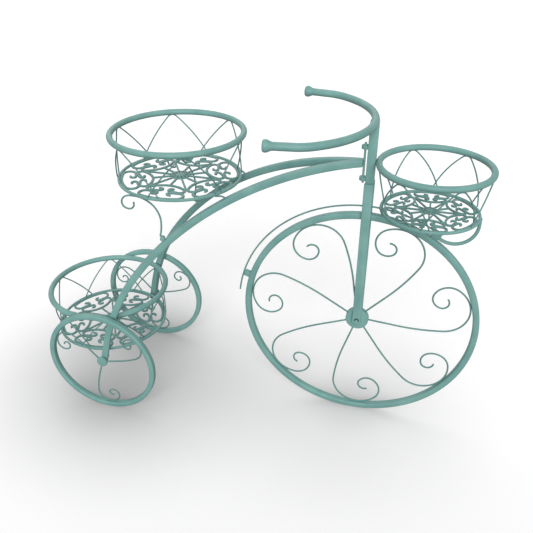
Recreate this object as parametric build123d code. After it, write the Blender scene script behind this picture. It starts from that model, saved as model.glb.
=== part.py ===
from build123d import *
from math import asin, atan, atan2, ceil, cos, degrees, hypot, pi, radians, sin, sqrt, tan
import os

# Bicycle planter in painted steel: a big front wheel under a post with a handlebar, two small rear
# wheels on a pair of arched tubes, and three round wire baskets for pots. Millimetres, +X forward,
# +Z up, standing on z = 0. The front frame steers on a pin behind the post, and the rear wheels spin.
# Places are first worked out with the front axle at x = 0, and every node is then moved so that the
# origin is the middle of the planter's footprint. Round tubes and bends are drawn with many sides.

# Clearances
touch_gap = 0.05
weld_gap = 0.2
running_clearance = 0.05

# How many sides round things have, and how far a bend turns from one straight run to the next
wheel_sides = 56
rear_wheel_sides = 32
basket_sides = 36
hub_sides = 24
small_sides = 12
tube_sides = 6
wire_step = 32.0
beam_step = 6.0
fender_step = 6.0
handlebar_step = 10.0

# Front wheel
front_rim_radius = 210.0
front_rim_depth = 11.5
front_rim_width = 12.5
front_hub_radius = 21.0
front_hub_width = 12.0
front_spoke_count = 7
front_spoke_angle = 152.0
front_spoke_wire = 3.2

# Rear wheels
rear_rim_radius = 105.0
rear_rim_depth = 10.0
rear_rim_width = 11.5
rear_hub_radius = 10.3
rear_hub_width = 5.0
rear_spoke_wire = 3.0
rear_spoke_count = 3
rear_spoke_angle = 14.5
rear_axle_radius = 2.5
rear_axle_head_radius = 5.0
rear_axle_head_height = 3.0
rear_axle_bite_share = 0.7

# Scroll of one wheel spoke: a straight arm, then bends, as shares of the spoke's reach
spoke_heading = -1.8
spoke_arm_share = 0.3655
spoke_bend_shares = [
    (1.847, 12.6),
    (0.2306, 80.1),
    (0.2443, 62.4),
    (0.1400, 99.3),
    (0.0957, 94.2),
    (0.0586, 150.0),
]

# Arched rear beams, from the hinge pin back and down to the rear axles. The head's rise is above the
# foot of the post
beam_side = 12.0
beam_splay = 14.3
beam_head_rise = 74.5
beam_head_slope = 5.26
beam_front_radius = 555.0
beam_front_turn = 47.9
beam_rear_radius = 410.0
beam_rear_turn = 23.4
beam_toe = 7.0
leg_gap = 0.6

# Post, fork legs and front axle
post_side = 14.0
post_wall = 1.5
post_length = 135.4
fork_width = 15.5
fork_thickness = 6.0
fork_lap = 42.0
fork_toe_radius = 7.75
axle_radius = 2.5
axle_hole_clearance = 0.1
axle_head_radius = 4.5
axle_head_height = 2.6
axle_nut_radius = 5.0
axle_nut_height = 4.0

# Steering hinge behind the post: a plain pin that carries the beams, turning in two eyes
pin_radius = 1.9
pin_standoff = 4.6
pin_overhang = 5.0
eye_radius = 6.2
eye_height = 6.0
eye_spacing = 53.8

# Handlebar
handlebar_radius = 6.35
handlebar_bow_radius = 157.0
handlebar_bow_turn = 57.3
handlebar_bend_radius = 63.0
handlebar_bend_turn = 25.6
handlebar_arm_length = 40.0
cap_neck_radius = 7.9
cap_radius = 9.5
cap_length = 12.5
cap_rim_length = 3.0
cap_end_radius = 8.3

# Fender wire over the front wheel, with what holds it and the front basket
fender_wire = 3.0
fender_gap = 12.2
fender_start = 58.0
fender_end = 173.8
tab_angle = 163.4
tab_length = 11.0
tab_width = 8.0
block_length = 13.0
block_width = 9.0
block_height = 15.0
hook_wire = 6.0
hook_radius = 49.0
hook_start = -107.0

# Baskets
rim_wire = 10.7
ring_side = 4.8
arch_wire = 2.5
arch_count = 6
arch_foot_angle = 32.0
arch_lean = 63.0
arch_cross_offset = 1.75
arch_phase = -3.0
strip_height = 2.4
big_rim_radius = 114.3
big_ring_radius = 107.2
big_depth = 79.5
big_strip = 2.8
big_bar = 2.2
small_rim_radius = 88.8
small_ring_radius = 79.0
small_depth = 76.6
small_strip = 2.1
small_bar = 1.7

# The bottom rings' places: the upper one's front edge behind the hinge pin, and how far each is below
# the beams' head, above the rear axles and above the foot of the post
upper_ring_reach = 214.9
upper_ring_drop = 57.5
lower_ring_rise = 11.3
front_ring_rise = 2.6

# Section of a basket rim, as shares of half its wire: height and how far it stands from the middle
rim_section_shares = [(-1.0, 0.45), (0.0, 1.0), (1.0, 0.45)]

# Floor, as shares of the ring's inner radius: a disc with bars, six scrolls that bow to the middle
# and six that lie along the ring, each with its two ends curled in. A bend is a radius and a turn
disc_share = 0.165
belly_share = 0.46
joint_bar_share = 0.635
floor_step = 75.0
ring_scroll_half_angle = 18.0
ring_scroll_shares = [(0.1045, -165.0), (0.0, 0.135), (0.045, -215.0)]
belly_scroll_shares = [(0.45, 21.0), (0.45, 20.5), (0.075, 150.0), (0.0, 0.15), (0.043, 215.0)]

# Brackets between the beams and the upper basket
bracket_wire = 3.2
lug_radius = 4.5
lug_length = 8.0
lug_angle = 43.5
bracket_bow_radius = 54.0
bracket_bow_turn = 92.0
bracket_curl_radius = 13.0
bracket_curl_turn = 190.0
bracket_end_radius = 8.5
bracket_end_turn = 120.0
stay_run = 9.0
stay_bend_radius = 12.0
stay_bend_turn = 32.0


# Worked-out heights and places, with the front axle at x = 0
front_axle_height = front_rim_radius + front_rim_depth / 2
rear_axle_height = rear_rim_radius + rear_rim_depth / 2
front_rim_inner = front_rim_radius - front_rim_depth / 2
rear_rim_inner = rear_rim_radius - rear_rim_depth / 2
pin_x = -(post_side / 2 + pin_standoff)
beam_front_x = pin_x - pin_radius - touch_gap
fender_radius = front_axle_height + fender_gap
fender_top = front_axle_height + fender_radius + fender_wire / 2
post_foot = fender_top + weld_gap
post_top = post_foot + post_length
handlebar_height = post_top + handlebar_radius + touch_gap
beam_head_height = post_foot + beam_head_rise
upper_rim_height = beam_head_height - upper_ring_drop + big_depth
lower_rim_height = rear_axle_height + lower_ring_rise + big_depth
front_rim_height = post_foot + front_ring_rise + small_depth
upper_x = pin_x - upper_ring_reach - big_ring_radius
splay = radians(beam_splay)


# Corners of a wire bent in a flat plane: straight runs (0, length) and bends (radius, turn), each bend
# in short straight runs; a positive turn goes to the left
def bent_points(start, heading, legs, step):
    x, y = start
    angle = radians(heading)
    points = [(x, y)]
    for radius, amount in legs:
        count = 1 if radius == 0 else max(1, ceil(abs(amount) / step))
        half = 0 if radius == 0 else radians(amount) / count / 2
        run = amount if radius == 0 else 2 * radius * sin(abs(half))
        for index in range(count):
            angle += half
            x += run * cos(angle)
            y += run * sin(angle)
            points.append((x, y))
            angle += half
    return points


# A bar of flat section along such points: its width lies in the plane, its height across it
def flat_bar(points, width, height):
    left = []
    right = []
    last = len(points) - 1
    for index, (x, y) in enumerate(points):
        before = points[max(index - 1, 0)]
        after = points[min(index + 1, last)]
        into = atan2(y - before[1], x - before[0]) if index else None
        away = atan2(after[1] - y, after[0] - x) if index < last else into
        into = away if into is None else into
        bend = (away - into + pi) % (2 * pi) - pi
        middle = into + bend / 2
        reach = width / 2 / cos(bend / 2)
        left.append((x - reach * sin(middle), y + reach * cos(middle)))
        right.append((x + reach * sin(middle), y - reach * cos(middle)))
    outline = Polyline(*left, *reversed(right), close=True)
    return extrude(make_face(outline), height / 2, both=True)


# A bar whose second half mirrors the first across x = 0
def mirrored_points(half):
    return [(-x, y) for x, y in reversed(half[1:])] + half


# A tube's section has a flat side towards the plane that it is bent in
def tube_section(radius):
    return RegularPolygon(radius, tube_sides, major_radius=False, rotation=180 / tube_sides)


# A round tube along such points, drawn with few sides
def bent_tube(points, diameter):
    path = Polyline(*points)
    start = Plane(origin=path @ 0, x_dir=(0, 0, 1), z_dir=path % 0)
    return sweep(start * tube_section(diameter / 2), path=path, transition=Transition.RIGHT)


# A round body with flat sides: polygons at the given heights, given as (height, radius)
def turned(profile, sides):
    return loft([Pos(0, 0, z) * RegularPolygon(radius, sides) for z, radius in profile], ruled=True)


# A short cone with flat sides, from the first radius to the second along the given length
def flared(first, second, length, sides):
    taper = degrees(atan((first - second) * cos(pi / sides) / length))
    return extrude(RegularPolygon(first, sides), length, taper=taper)


# A round pin or shaft with small flat sides, and a bore whose flat sides clear its corners
def shaft_section(radius):
    return RegularPolygon(radius, small_sides)


def bore_section(radius):
    return RegularPolygon(radius, small_sides, major_radius=False)


# The same piece repeated round an axis
def around(axis, shape, count, first=0.0):
    turn = 360 / count
    return [shape.rotate(axis, first + turn * index) for index in range(count)]


def ring(outer, inner, width, sides):
    section = RegularPolygon(outer, sides) - RegularPolygon(inner, sides, major_radius=False)
    return extrude(section, width / 2, both=True)


# An upright plane that holds +Z, whose local x runs along the given plan angle
def upright_plane(x, y, angle):
    along = Vector(cos(radians(angle)), sin(radians(angle)), 0)
    return Plane(origin=(x, y, 0), x_dir=along, z_dir=along.cross(Vector(0, 0, 1)))


# Place on a beam's centre line where its slope is the given angle, as distance back from the pin and height
def beam_point(slope):
    back = 0.0
    height = beam_head_height
    at = beam_head_slope
    for radius, turn in ((beam_front_radius, beam_front_turn), (beam_rear_radius, beam_rear_turn)):
        end = min(at + turn, slope)
        back += radius * (sin(radians(end)) - sin(radians(at)))
        height -= radius * (cos(radians(at)) - cos(radians(end)))
        at = end
        if end >= slope:
            break
    return back, height


leg_slope = beam_head_slope + beam_front_turn + beam_rear_turn
knee_back, knee_height = beam_point(leg_slope)
axle_back = knee_back + (knee_height - rear_axle_height) / tan(radians(leg_slope))
rear_axle_x = pin_x - axle_back * cos(splay)
leg_y = axle_back * sin(splay)
leg_reach = beam_side / 2 * (cos(splay) + sin(splay) / sin(radians(leg_slope)))
leg_foot = rear_axle_height - beam_toe
rear_wheel_y = leg_y + leg_reach + leg_gap + rear_hub_width / 2


# Where a beam's centre line reaches the given height, as distance back from the pin
def beam_back_at(height):
    low = beam_head_slope
    high = leg_slope
    for step in range(40):
        middle = (low + high) / 2
        if beam_point(middle)[1] > height:
            low = middle
        else:
            high = middle
    return beam_point(low)[0], low


# The lower basket sits as far forward as the legs let its rim go: the corner of a leg behind the rim's
# height touches the rim
def lower_basket_x():
    back, slope = beam_back_at(lower_rim_height)
    half_run = beam_side / 2 / sin(radians(slope))
    corner_x = pin_x - (back + half_run) * cos(splay) - beam_side / 2 * sin(splay)
    corner_y = (back + half_run) * sin(splay) - beam_side / 2 * cos(splay)
    rim_reach = big_rim_radius + rim_wire / 2 + weld_gap
    return corner_x - sqrt(rim_reach**2 - corner_y**2)


lower_x = lower_basket_x()
front_x = post_side / 2 + weld_gap + rim_wire / 2 + small_rim_radius
planter_front = front_axle_height
planter_back = lower_x - big_rim_radius - rim_wire / 2
middle_x = (planter_front + planter_back) / 2


# Front wheel
def front_wheel_rim():
    rim = Plane.XZ * ring(front_axle_height, front_rim_inner, front_rim_width, wheel_sides)
    return Pos(0, 0, front_axle_height) * rim


def front_wheel_hub():
    disc = RegularPolygon(front_hub_radius, hub_sides) - bore_section(axle_radius + axle_hole_clearance)
    hub = Plane.XZ * extrude(disc, front_hub_width / 2, both=True)
    return Pos(0, 0, front_axle_height) * hub


# A scroll spoke starts on the hub, and its farthest bend lies against the inside of the rim
def scroll_spoke(hub_radius, rim_inner, wire):
    reach = rim_inner - wire / 2 - touch_gap
    start = hub_radius + wire / 2 * sin(radians(abs(spoke_heading))) + touch_gap
    legs = [(0, spoke_arm_share * reach - start)]
    legs += [(share * reach, turn) for share, turn in spoke_bend_shares]
    return flat_bar(bent_points((start, 0), spoke_heading, legs, wire_step), wire, wire)


def wheel_spokes(hub_radius, rim_inner, wire, count, first):
    spoke = Plane.XZ * scroll_spoke(hub_radius, rim_inner, wire)
    return around(Axis.Y, spoke, count, -first)


def front_wheel_spokes():
    spokes = wheel_spokes(front_hub_radius, front_rim_inner, front_spoke_wire,
                          front_spoke_count, front_spoke_angle)
    return Compound(children=[Pos(0, 0, front_axle_height) * spoke for spoke in spokes])


# Rear wheels, on the side given by +1 (left) or -1 (right)
def at_rear_axle(side, shape):
    return Pos(rear_axle_x, side * rear_wheel_y, rear_axle_height) * shape


def rear_wheel_rim(side):
    rim = ring(rear_axle_height, rear_rim_inner, rear_rim_width, rear_wheel_sides)
    return at_rear_axle(side, Plane.XZ * rim)


# The hub has a smooth outer face and a blind bore that opens towards the leg
def rear_wheel_hub(side):
    deep = rear_hub_width * rear_axle_bite_share
    hub = Plane.XZ * extrude(RegularPolygon(rear_hub_radius, hub_sides), rear_hub_width / 2, both=True)
    hole = Plane.XZ * extrude(bore_section(rear_axle_radius + running_clearance), deep / 2, both=True)
    return at_rear_axle(side, hub - Pos(0, -side * (rear_hub_width - deep) / 2, 0) * hole)


def rear_wheel_spokes(side):
    spokes = wheel_spokes(rear_hub_radius, rear_rim_inner, rear_spoke_wire,
                          rear_spoke_count, rear_spoke_angle)
    return Compound(children=[at_rear_axle(side, spoke) for spoke in spokes])


# A fixed stub axle through the foot of the leg, headed on the inside
def rear_axle(side):
    head_y = leg_y - leg_reach - touch_gap
    end_y = rear_wheel_y - rear_hub_width / 2 + rear_hub_width * rear_axle_bite_share - weld_gap
    shank = extrude(shaft_section(rear_axle_radius), end_y - head_y)
    head = extrude(RegularPolygon(rear_axle_head_radius, tube_sides), -rear_axle_head_height)
    axle = Plane(origin=(0, 0, 0), x_dir=(1, 0, 0), z_dir=(0, side, 0)) * (shank + head)
    return Pos(rear_axle_x, side * head_y, rear_axle_height) * axle


# Beams: bent square tube in an upright plane that splays from the pin, mitred together along y = 0
def beam(side):
    plane = upright_plane(pin_x, 0, 180 - side * beam_splay)
    slope = radians(beam_head_slope)
    start = (-beam_side * cos(slope), beam_head_height + beam_side * sin(slope))
    # the leg runs past the level cut at its foot
    leg_length = (knee_height - leg_foot) / sin(radians(leg_slope)) + beam_side
    legs = [
        (0, beam_side),
        (beam_front_radius, -beam_front_turn),
        (beam_rear_radius, -beam_rear_turn),
        (0, leg_length),
    ]
    # the upright plane's own x runs back along the beam, so a drop is a turn to the right
    tube = plane * flat_bar(bent_points(start, -beam_head_slope, legs, beam_step), beam_side, beam_side)
    length = abs(rear_axle_x) * 2
    keep = Box(length, length, beam_head_height * 2, align=(Align.MAX, Align.MIN, Align.MIN))
    keep = Pos(beam_front_x, 0, leg_foot) * keep
    if side < 0:
        keep = mirror(keep, about=Plane.XZ)
    tube = tube & keep
    hole = Plane.XZ * extrude(bore_section(rear_axle_radius + running_clearance), length, both=True)
    return tube - Pos(rear_axle_x, 0, rear_axle_height) * hole


# Post: square tube from the fender wire up to the underside of the handlebar
def post():
    bore_side = post_side - 2 * post_wall
    section = Rectangle(post_side, post_side) - Rectangle(bore_side, bore_side)
    return Pos(0, 0, post_foot) * extrude(section, post_top - post_foot)


# Fork legs: flat bars on each side of the wheel, lapped on the post, rounded at the axle
def fork_leg(side):
    height = post_foot + fork_lap - front_axle_height
    blade = Rectangle(fork_width, height, align=(Align.CENTER, Align.MIN))
    blade += RegularPolygon(fork_toe_radius, hub_sides)
    blade -= bore_section(axle_radius + axle_hole_clearance)
    leg = Plane.XZ * extrude(blade, fork_thickness / 2, both=True)
    middle = fork_outer_face() - fork_thickness / 2
    return Pos(0, side * middle, front_axle_height) * leg


# The legs lie against the sides of the post
def fork_outer_face():
    return post_side / 2 + touch_gap + fork_thickness


# Front axle bolt: low domed head on the right side, hexagon nut on the left
def front_axle_bolt():
    face = fork_outer_face() + touch_gap
    head = flared(axle_head_radius, axle_head_radius / 2, axle_head_height, small_sides)
    shank = extrude(shaft_section(axle_radius), -(face * 2 + axle_nut_height + touch_gap))
    bolt = Plane(origin=(0, -face, 0), x_dir=(1, 0, 0), z_dir=(0, -1, 0)) * (head + shank)
    return Pos(0, 0, front_axle_height) * bolt


def front_axle_nut():
    face = fork_outer_face() + touch_gap
    section = RegularPolygon(axle_nut_radius, tube_sides) - bore_section(axle_radius + running_clearance)
    nut = extrude(section, axle_nut_height)
    nut = Plane(origin=(0, face, 0), x_dir=(1, 0, 0), z_dir=(0, 1, 0)) * nut
    return Pos(0, 0, front_axle_height) * nut


# Steering hinge: the pin belongs to the rear frame, the eyes to the post
def hinge_pin():
    length = eye_spacing + eye_height + 2 * pin_overhang
    return Pos(pin_x, 0, beam_head_height) * extrude(shaft_section(pin_radius), length / 2, both=True)


def hinge_eyes():
    post_back = -post_side / 2 - touch_gap
    outside = Pos(pin_x, 0, 0) * RegularPolygon(eye_radius, hub_sides)
    wall = Pos(post_back, 0, 0) * Rectangle(eye_radius * 2, eye_radius * 4, align=(Align.MIN, Align.CENTER))
    section = outside - wall - Pos(pin_x, 0, 0) * bore_section(pin_radius + running_clearance)
    eye = extrude(section, eye_height / 2, both=True)
    lift = eye_spacing / 2
    return Compound(children=[Pos(0, 0, beam_head_height + rise) * eye for rise in (-lift, lift)])


# Handlebar: one round tube bowed in a level plane, its middle on top of the post
def handlebar_half():
    legs = [
        (handlebar_bow_radius, handlebar_bow_turn),
        (handlebar_bend_radius, handlebar_bend_turn),
        (0, handlebar_arm_length),
    ]
    return bent_points((0, 0), 90, legs, handlebar_step)


def handlebar():
    half = handlebar_half()
    other = [(x, -y) for x, y in reversed(half[1:])]
    return Pos(0, 0, handlebar_height) * bent_tube(other + half, 2 * handlebar_radius)


# End cap: a flared ferrule over the end of the tube, bored to take it
def handlebar_cap(side):
    half = handlebar_half()
    end = Vector(half[-1][0], side * half[-1][1], handlebar_height)
    before = Vector(half[-2][0], side * half[-2][1], handlebar_height)
    out = (end - before).normalized()
    depth = cap_length - cap_rim_length
    wide = Pos(0, 0, depth)
    cap = wide * Rot(180, 0, 0) * flared(cap_radius, cap_neck_radius, depth, small_sides)
    cap += wide * flared(cap_radius, cap_end_radius, cap_rim_length, small_sides)
    cap -= extrude(tube_section(handlebar_radius + touch_gap), depth)
    return Plane(origin=end - out * (depth - touch_gap), x_dir=(0, 0, 1), z_dir=out) * cap


# Fender wire round the front wheel, its rear tab, and the block and hook under the front basket
def wheel_place(radius, angle):
    return radius * cos(radians(angle)), front_axle_height + radius * sin(radians(angle))


def fender_bar(first, last, wire):
    start = wheel_place(fender_radius, first)
    points = bent_points(start, first + 90, [(fender_radius, last - first)], fender_step)
    return Plane.XZ * flat_bar(points, wire, wire)


def fender():
    return fender_bar(fender_start, fender_end, fender_wire)


# The wheel with its clearance, which cuts the foot of what stands on it
def tyre():
    disc = extrude(RegularPolygon(front_axle_height + touch_gap, wheel_sides), front_rim_width, both=True)
    return Pos(0, 0, front_axle_height) * (Plane.XZ * disc)


def rim_saddle(angle, length, width, top):
    foot = front_axle_height - length / 2
    x, z = wheel_place((foot + top) / 2, angle)
    return Pos(x, 0, z) * Rot(0, -angle, 0) * Box(top - foot, width, length) - tyre()


def fender_tab():
    top = fender_radius * cos(radians(fender_step / 2)) - fender_wire / 2 - touch_gap
    return rim_saddle(tab_angle, tab_length, tab_width, top)


def basket_block():
    block = rim_saddle(fender_start, block_length, block_width, front_axle_height + block_height)
    groove = fender_bar(fender_start, fender_end, fender_wire + 2 * touch_gap)
    return (block - groove).solids().sort_by(SortBy.VOLUME)[-1]


def basket_hook(block_shape):
    ring_x = front_x + small_ring_radius
    top = front_rim_height - small_depth - ring_side / 2 - touch_gap
    start_x = ring_x - hook_radius + hook_radius * cos(radians(hook_start))
    start_z = top + hook_radius * sin(radians(hook_start))
    points = bent_points((start_x, start_z), hook_start + 90, [(hook_radius, -hook_start)], wire_step / 2)
    hook = Plane.XZ * bent_tube(points, hook_wire)
    keep = Pos(ring_x - hook_radius, 0, top) * Box(4 * hook_radius, hook_wire * 2, 4 * hook_radius,
                                                   align=(Align.CENTER, Align.CENTER, Align.MAX))
    return (hook & keep - block_shape - tyre()).solids().sort_by(SortBy.VOLUME)[-1]


# One basket is a rim tube, a bottom ring, bent-wire arches between them and a floor of strips
def basket_rim(x, height, radius):
    half = rim_wire / 2
    outside = turned([(z * half, radius + share * half) for z, share in rim_section_shares], basket_sides)
    flat = 1 / cos(pi / basket_sides)
    inside = turned([(z * half, (radius - share * half) * flat) for z, share in rim_section_shares],
                    basket_sides)
    return Pos(x, 0, height) * (outside - inside)


def basket_ring(x, height, radius):
    outer = radius + ring_side / 2
    return Pos(x, 0, height) * ring(outer, radius - ring_side / 2, ring_side, basket_sides)


# Six bent wires lean in from the rim to the ring. Each is turned a little about its crown, so that
# the feet of neighbours pass side by side where they cross
def basket_arches(x, rim_height, rim_radius, depth, ring_radius):
    top = -rim_wire / 2 - arch_wire / sqrt(2) - touch_gap
    foot = -depth + ring_side / 2
    foot_angle = radians(arch_foot_angle)
    lean_in = rim_radius - ring_radius * cos(foot_angle)
    slope = hypot(top - foot, lean_in)
    half_span = ring_radius * sin(foot_angle)
    lean = radians(arch_lean)
    # the crown's radius and the straight legs' length reach from the crown to the feet
    share = sin(lean) ** 2 - (1 - cos(lean)) * cos(lean)
    crown = (half_span * sin(lean) - slope * cos(lean)) / share
    leg = (slope * sin(lean) - half_span * (1 - cos(lean))) / share
    spare = arch_wire * 2
    half = bent_points((0, slope), 0, [(crown, -arch_lean), (0, leg + spare)], wire_step)
    wire = flat_bar(mirrored_points(half), arch_wire, arch_wire)
    plane = Plane(origin=(ring_radius * cos(foot_angle), 0, foot), x_dir=(0, 1, 0),
                  z_dir=Vector(top - foot, 0, -lean_in))
    twist = asin(arch_cross_offset / (ring_radius / 2))
    arch = (plane * wire).rotate(Axis((rim_radius, 0, 0), (0, 0, 1)), twist * 180 / pi)
    below = Box(4 * rim_radius, 4 * rim_radius, depth, align=(Align.CENTER, Align.CENTER, Align.MAX))
    arch = arch - Pos(0, 0, foot + touch_gap) * below
    arches = around(Axis.Z, arch, arch_count, arch_phase)
    return Compound(children=[Pos(x, 0, rim_height) * one for one in arches])


# Shares of a size, with straight runs kept as (0, length)
def scaled_legs(shares, size):
    return [(radius * size, amount * size if radius == 0 else amount) for radius, amount in shares]


def floor_scrolls(x, height, ring_radius, strip):
    inner = ring_radius - ring_side / 2
    crown = inner - strip / 2 - touch_gap * 2
    legs = [(crown, -ring_scroll_half_angle)] + scaled_legs(ring_scroll_shares, inner)
    along_ring = mirrored_points(bent_points((0, crown), 0, legs, floor_step))
    start = (0, belly_share * inner)
    belly = mirrored_points(bent_points(start, 0, scaled_legs(belly_scroll_shares, inner), floor_step))
    scrolls = around(Axis.Z, flat_bar(along_ring, strip, strip_height), arch_count)
    scrolls += around(Axis.Z, flat_bar(belly, strip, strip_height), arch_count)
    return Compound(children=[Pos(x, 0, height) * one for one in scrolls])


# Floor star: a flat disc with thin bars, in turn to the belly of a scroll and between two of them
def floor_star(x, height, ring_radius, strip, bar):
    inner = ring_radius - ring_side / 2
    short = belly_share * inner - strip / 2 - touch_gap
    star = RegularPolygon(disc_share * inner, hub_sides)
    for index in range(arch_count // 2):
        turn = 360 / arch_count * index
        star += Rot(0, 0, turn) * Rectangle(2 * joint_bar_share * inner, bar)
        star += Rot(0, 0, turn + 90) * Rectangle(2 * short, bar)
    return Pos(x, 0, height) * extrude(star, strip_height / 2, both=True)


# Bracket and stay of the upper basket on one beam
def upper_ring_front():
    off = (pin_x - upper_x) * sin(splay)
    return (pin_x - upper_x) * cos(splay) - sqrt(big_ring_radius**2 - off**2)


def on_beam(side, shape):
    return upright_plane(pin_x, 0, 180 - side * beam_splay) * shape


def lug_place():
    back, height = beam_point(lug_angle)
    off = beam_side / 2 + lug_radius + touch_gap
    return back + off * sin(radians(lug_angle)), height + off * cos(radians(lug_angle))


def bracket_lug(side):
    lug = extrude(RegularPolygon(lug_radius, small_sides), lug_length / 2, both=True)
    return on_beam(side, Pos(*lug_place()) * lug)


# Up from the lug, over in one bow that ends level under the ring, and round in a curl
def bracket_scroll(side):
    lug_back, lug_height = lug_place()
    top = upper_rim_height - big_depth - ring_side / 2 - bracket_wire / 2 - touch_gap
    start_height = lug_height + lug_radius + touch_gap
    bow_start = top - bracket_bow_radius * (1 - cos(radians(bracket_bow_turn)))
    rise = (bow_start - start_height) / sin(radians(bracket_bow_turn))
    legs = [
        (0, rise),
        (bracket_bow_radius, -bracket_bow_turn),
        (bracket_curl_radius, -bracket_curl_turn),
        (bracket_end_radius, -bracket_end_turn),
    ]
    points = bent_points((lug_back, start_height), bracket_bow_turn, legs, wire_step)
    return on_beam(side, flat_bar(points, bracket_wire, bracket_wire))


# Short stay at the front of the ring, from under the ring down to the top of the beam
def front_stay(side):
    near = upper_ring_front()
    top = upper_rim_height - big_depth - ring_side / 2 - bracket_wire / 2 - touch_gap
    legs = [(0, stay_run), (stay_bend_radius, stay_bend_turn), (0, stay_run)]
    points = bent_points((near + stay_run / 2, top), 180, legs, wire_step)
    stay = on_beam(side, flat_bar(points, bracket_wire, bracket_wire))
    return (stay - beam(side)).solids().sort_by(SortBy.VOLUME)[-1]


def basket_nodes(name, x, rim_height, rim_radius, depth, ring_radius, strip, bar):
    floor = rim_height - depth
    return {
        name + "_basket_rim": basket_rim(x, rim_height, rim_radius),
        name + "_basket_bottom_ring": basket_ring(x, floor, ring_radius),
        name + "_basket_arches": basket_arches(x, rim_height, rim_radius, depth, ring_radius),
        name + "_basket_floor_scrolls": floor_scrolls(x, floor, ring_radius, strip),
        name + "_basket_floor_star": floor_star(x, floor, ring_radius, strip, bar),
    }


def planter():
    block = basket_block()
    nodes = {
        "front_wheel_rim": front_wheel_rim(),
        "front_wheel_hub": front_wheel_hub(),
        "front_wheel_spokes": front_wheel_spokes(),
        "front_axle_bolt": front_axle_bolt(),
        "front_axle_nut": front_axle_nut(),
        "post": post(),
        "hinge_pin": hinge_pin(),
        "hinge_eyes": hinge_eyes(),
        "handlebar": handlebar(),
        "fender_wire": fender(),
        "fender_tab": fender_tab(),
        "front_basket_block": block,
        "front_basket_hook": basket_hook(block),
    }
    for side, word in ((1, "left"), (-1, "right")):
        nodes["rear_wheel_rim_" + word] = rear_wheel_rim(side)
        nodes["rear_wheel_hub_" + word] = rear_wheel_hub(side)
        nodes["rear_wheel_spokes_" + word] = rear_wheel_spokes(side)
        nodes["rear_axle_" + word] = rear_axle(side)
        nodes["beam_" + word] = beam(side)
        nodes["fork_leg_" + word] = fork_leg(side)
        nodes["handlebar_cap_" + word] = handlebar_cap(side)
        nodes["bracket_lug_" + word] = bracket_lug(side)
        nodes["bracket_scroll_" + word] = bracket_scroll(side)
        nodes["front_stay_" + word] = front_stay(side)
    big = (big_rim_radius, big_depth, big_ring_radius, big_strip, big_bar)
    small = (small_rim_radius, small_depth, small_ring_radius, small_strip, small_bar)
    nodes.update(basket_nodes("upper", upper_x, upper_rim_height, *big))
    nodes.update(basket_nodes("lower", lower_x, lower_rim_height, *big))
    nodes.update(basket_nodes("front", front_x, front_rim_height, *small))
    return nodes


os.makedirs("parts", exist_ok=True)
for node, shape in planter().items():
    export_step(Pos(-middle_x, 0, 0) * shape, "parts/" + node + ".step")
print("rear axle x, height, wheel y:", rear_axle_x, rear_axle_height, rear_wheel_y)
print("lower basket x, front basket x, middle x:", lower_x, front_x, middle_x)
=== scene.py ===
import math

import bmesh
import bpy
from mathutils import Matrix, Vector


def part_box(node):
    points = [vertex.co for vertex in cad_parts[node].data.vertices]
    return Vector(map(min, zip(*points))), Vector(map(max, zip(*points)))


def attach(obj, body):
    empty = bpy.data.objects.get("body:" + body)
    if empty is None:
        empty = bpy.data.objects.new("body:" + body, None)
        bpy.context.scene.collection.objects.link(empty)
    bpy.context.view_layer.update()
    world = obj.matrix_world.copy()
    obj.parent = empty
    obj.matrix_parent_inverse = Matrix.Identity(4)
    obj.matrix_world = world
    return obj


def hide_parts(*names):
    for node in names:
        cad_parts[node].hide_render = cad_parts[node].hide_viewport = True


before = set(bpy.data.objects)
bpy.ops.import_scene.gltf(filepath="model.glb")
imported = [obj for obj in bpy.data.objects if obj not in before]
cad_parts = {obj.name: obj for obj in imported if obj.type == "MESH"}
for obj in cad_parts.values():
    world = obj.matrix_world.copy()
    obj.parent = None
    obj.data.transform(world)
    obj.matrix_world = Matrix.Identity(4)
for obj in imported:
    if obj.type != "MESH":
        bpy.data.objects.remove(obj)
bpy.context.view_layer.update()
mm = 0.001


# Materials

# A hex colour as it looks on a screen, turned to linear light
def linearColour(hexColour):
    parts = [int(hexColour[at:at + 2], 16) / 255 for at in (1, 3, 5)]
    linear = [part / 12.92 if part <= 0.04045 else ((part + 0.055) / 1.055) ** 2.4 for part in parts]
    return (*linear, 1.0)


# One node with its settings, its socket values and its links
def addNode(tree, kind, settings=None, values=None, links=None):
    node = tree.nodes.new(kind)
    for name, value in (settings or {}).items():
        setattr(node, name, value)
    for name, value in (values or {}).items():
        node.inputs[name].default_value = value
    for name, source in (links or {}).items():
        tree.links.new(source, node.inputs[name])
    return node


def emptyMaterial(name):
    material = bpy.data.materials.new(name)
    material.use_nodes = True
    material.node_tree.nodes.clear()
    return material


# Patches where the coat runs thin or thick, the orange peel of the spray gun, and the matt grain. The
# real grain is under 0.1 mm and wouldn't show, so it is drawn 5 mm wide
steelPaint = {
    "thinColour": "#709c97",
    "thickColour": "#7ca8a2",
    # The wire colours are the tube colours painted darker, as painted shade on the thin wires
    "wireThinShadedColour": "#5f8985",
    "wireThickShadedColour": "#6b9691",
    "patchSize": 38 * mm,
    "patchDetail": 3.0,
    "patchEdges": (0.36, 0.64),
    "peelSize": 1.6 * mm,
    "peelDetail": 2.0,
    "peelDepth": 0.03 * mm,
    "peelStrength": 0.6,
    "grainSize": 5.0 * mm,
    "grainDetail": 4.0,
    "roughness": (0.40, 0.52),
    "gloss": 0.24,
    "ior": 1.5,
}


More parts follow.
